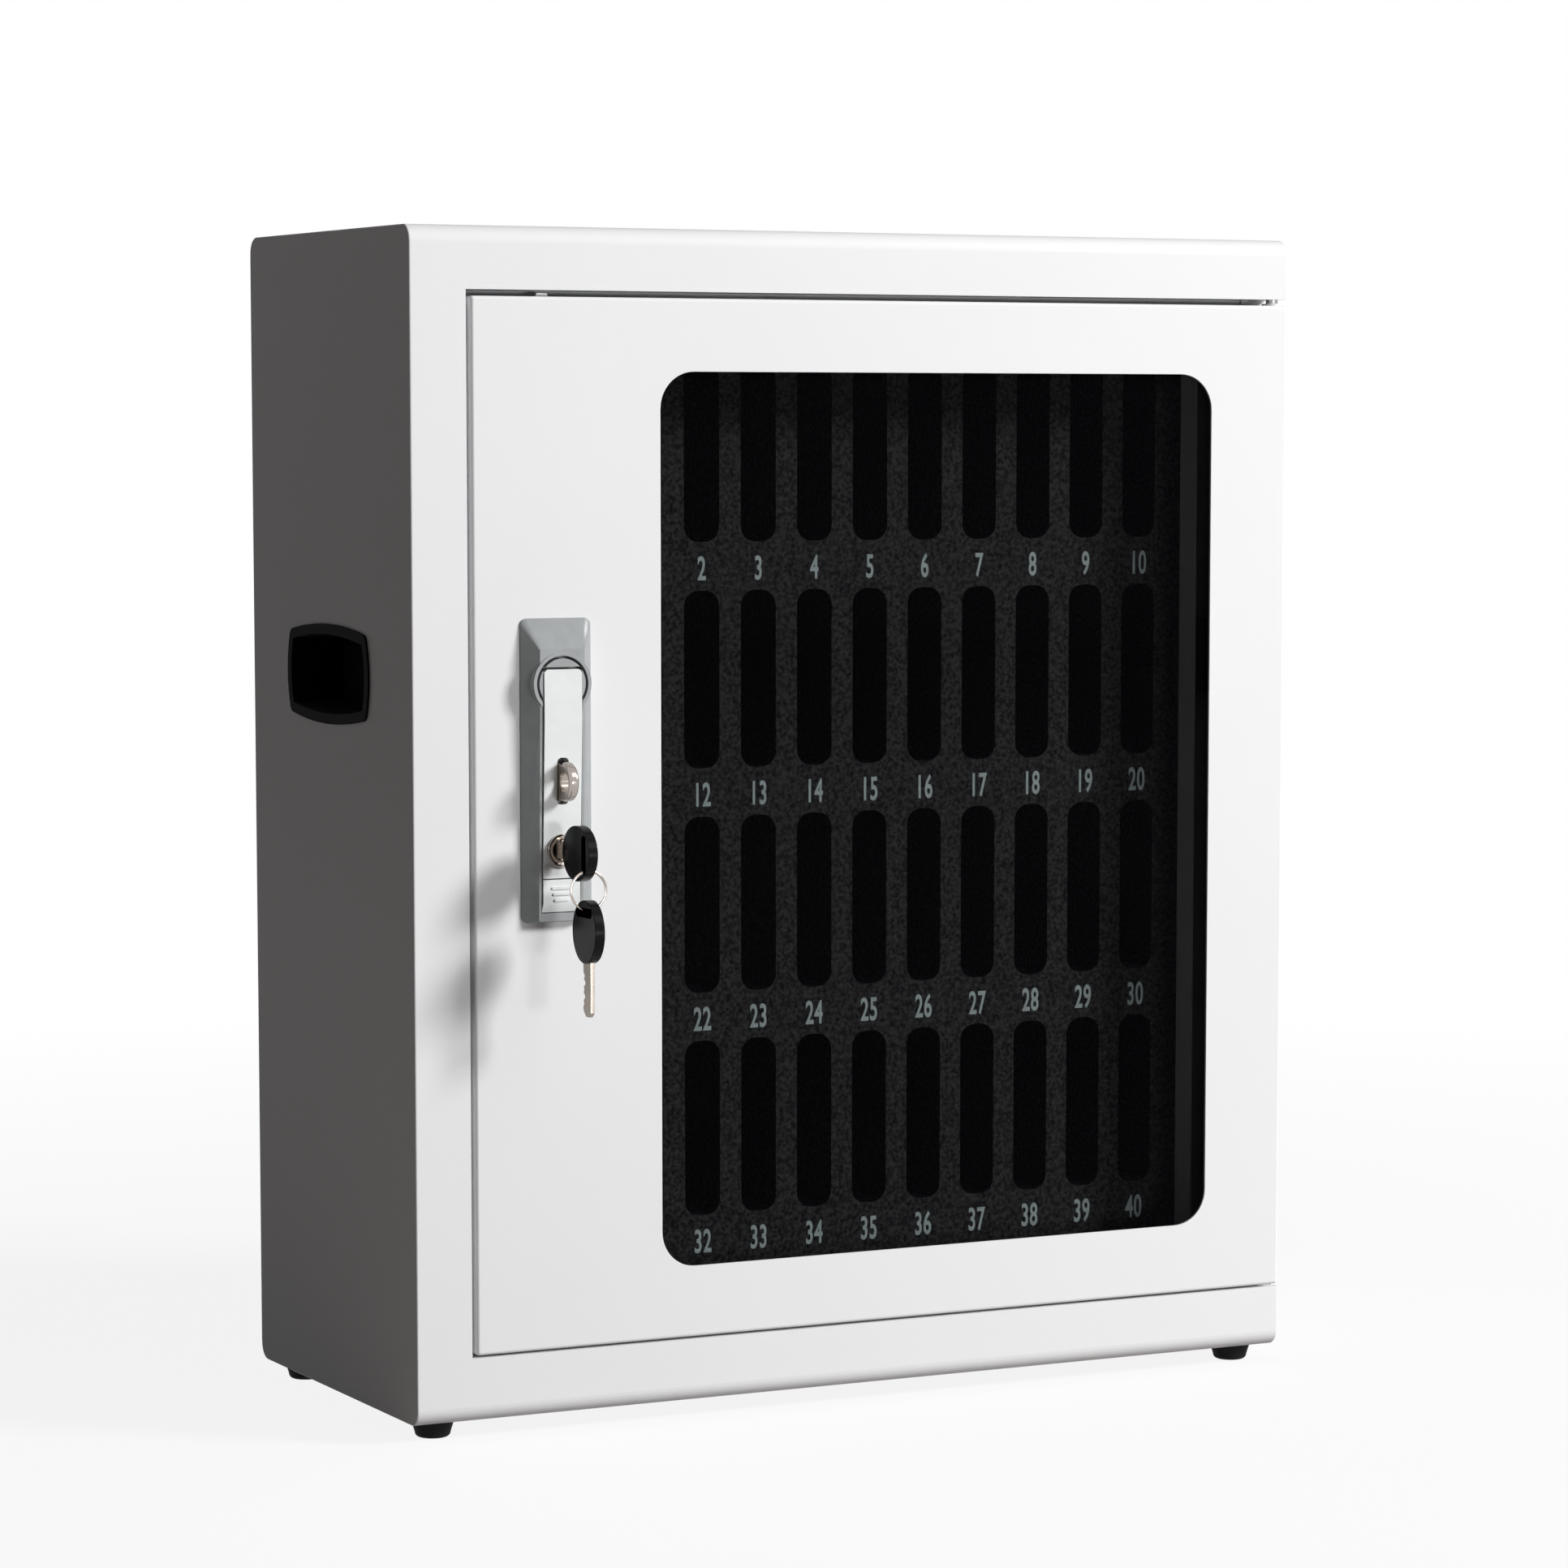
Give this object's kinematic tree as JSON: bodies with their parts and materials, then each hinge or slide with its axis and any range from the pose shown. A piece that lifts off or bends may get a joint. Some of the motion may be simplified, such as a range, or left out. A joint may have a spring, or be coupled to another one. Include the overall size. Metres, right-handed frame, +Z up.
{
  "type": "cell phone locker box",
  "caption": "White steel tabletop cabinet with a tinted window door on pivot pins, a numbered phone pigeonhole rack, a lift handle lock with keys, hand cups and rubber feet.",
  "frame": {"origin": "centre of the bottom of the bounding box, on the surface the feet stand on, with the key in the lock counted in the depth", "axes": "+Z up; the door and window face -Y; the door turns on its right-hand edge, at +X"},
  "size_m": [0.477, 0.2538, 0.5685],
  "materials": {
    "paint": "satin powder coat",
    "rack_paint": "textured powder coat",
    "black_plastic": "gloss",
    "black_rubber": "matte",
    "tinted_acrylic": "clear, tinted",
    "white_nylon": "matte",
    "satin_silver": "satin",
    "chrome": "polished",
    "zinc_plated": "plated",
    "nickel_steel": "plated"
  },
  "bodies": {
    "cabinet": {"shell_wrap": "paint", "side_left": "paint", "side_right": "paint", "hand_cup_left": "black_plastic", "hand_cup_right": "black_plastic", "rack_wall_left": "paint", "rack_wall_right": "paint", "rack_face": "rack_paint", "rack_shelves": "rack_paint", "rack_dividers": "rack_paint", "feet": "black_rubber", "foot_screws": "zinc_plated", "hinge_pins": "zinc_plated"},
    "door": {"door_pan": "paint", "window_pane": "tinted_acrylic", "pane_gasket": "black_rubber", "pane_clips": "zinc_plated", "clip_screws": "zinc_plated", "pivot_blocks": "white_nylon", "rod_guides": "white_nylon", "lock_housing": "satin_silver", "lock_turret": "satin_silver", "padlock_staple": "chrome", "handle_pin": "zinc_plated", "lock_clamp": "zinc_plated", "lock_screws": "zinc_plated", "cam_bearing": "zinc_plated"},
    "lift_handle": {"handle": "satin_silver", "lock_barrel": "chrome"},
    "button": {"push_button": "satin_silver"},
    "key": {"key_plug": "chrome", "key_blade": "nickel_steel", "key_bow": "black_plastic"},
    "ring": {"key_ring": "chrome"},
    "spare_key": {"spare_blade": "nickel_steel", "spare_bow": "black_plastic"},
    "cam": {"cam_spindle": "zinc_plated", "cam_disc": "zinc_plated", "cam_screw": "zinc_plated"},
    "upper_bolt": {"upper_rod": "zinc_plated", "upper_stud": "zinc_plated"},
    "lower_bolt": {"lower_rod": "zinc_plated", "lower_stud": "zinc_plated"}
  },
  "joints": [
    {"name": "door_hinge", "type": "hinge", "parent": "cabinet", "child": "door", "pos_m": [0.2325, -0.07005, 0.2885], "axis": [0, 0, 1], "range_deg": [0, 110]},
    {"name": "handle_lift", "type": "hinge", "parent": "door", "child": "lift_handle", "pos_m": [-0.1652, -0.08245, 0.3545], "axis": [-1, 0, 0], "range_deg": [0, 35]},
    {"name": "button_press", "type": "slide", "parent": "door", "child": "button", "axis": [0, 1, 0], "range_m": [0, 0.0022], "stiffness_N_per_m": 400, "springref_m": -0.0012},
    {"name": "key_turn", "type": "hinge", "parent": "lift_handle", "child": "key", "pos_m": [-0.1652, -0.08505, 0.2785], "axis": [0, 1, 0], "range_deg": [0, 90]},
    {"name": "ring_swing", "type": "hinge", "parent": "key", "child": "ring", "pos_m": [-0.1652, -0.11395, 0.27085], "axis": [-1, 0, 0], "range_deg": [-8, 60]},
    {"name": "spare_key_swing", "type": "hinge", "parent": "ring", "child": "spare_key", "pos_m": [-0.1652, -0.11395, 0.25305], "axis": [-1, 0, 0], "range_deg": [-8, 60]},
    {"name": "cam_turn", "type": "hinge", "parent": "door", "child": "cam", "pos_m": [-0.1652, -0.06805, 0.3565], "axis": [0, 1, 0], "range_deg": [0, 90]},
    {"name": "upper_bolt_slide", "type": "slide", "parent": "door", "child": "upper_bolt", "axis": [0, 0, 1], "range_m": [0, 0.011]},
    {"name": "lower_bolt_slide", "type": "slide", "parent": "door", "child": "lower_bolt", "axis": [0, 0, -1], "range_m": [0, 0.011]}
  ],
  "couplings": [
    {"joint": "upper_bolt_slide", "follows": "cam_turn", "m_per_rad": 0.0070028},
    {"joint": "lower_bolt_slide", "follows": "cam_turn", "m_per_rad": 0.0070028}
  ]
}
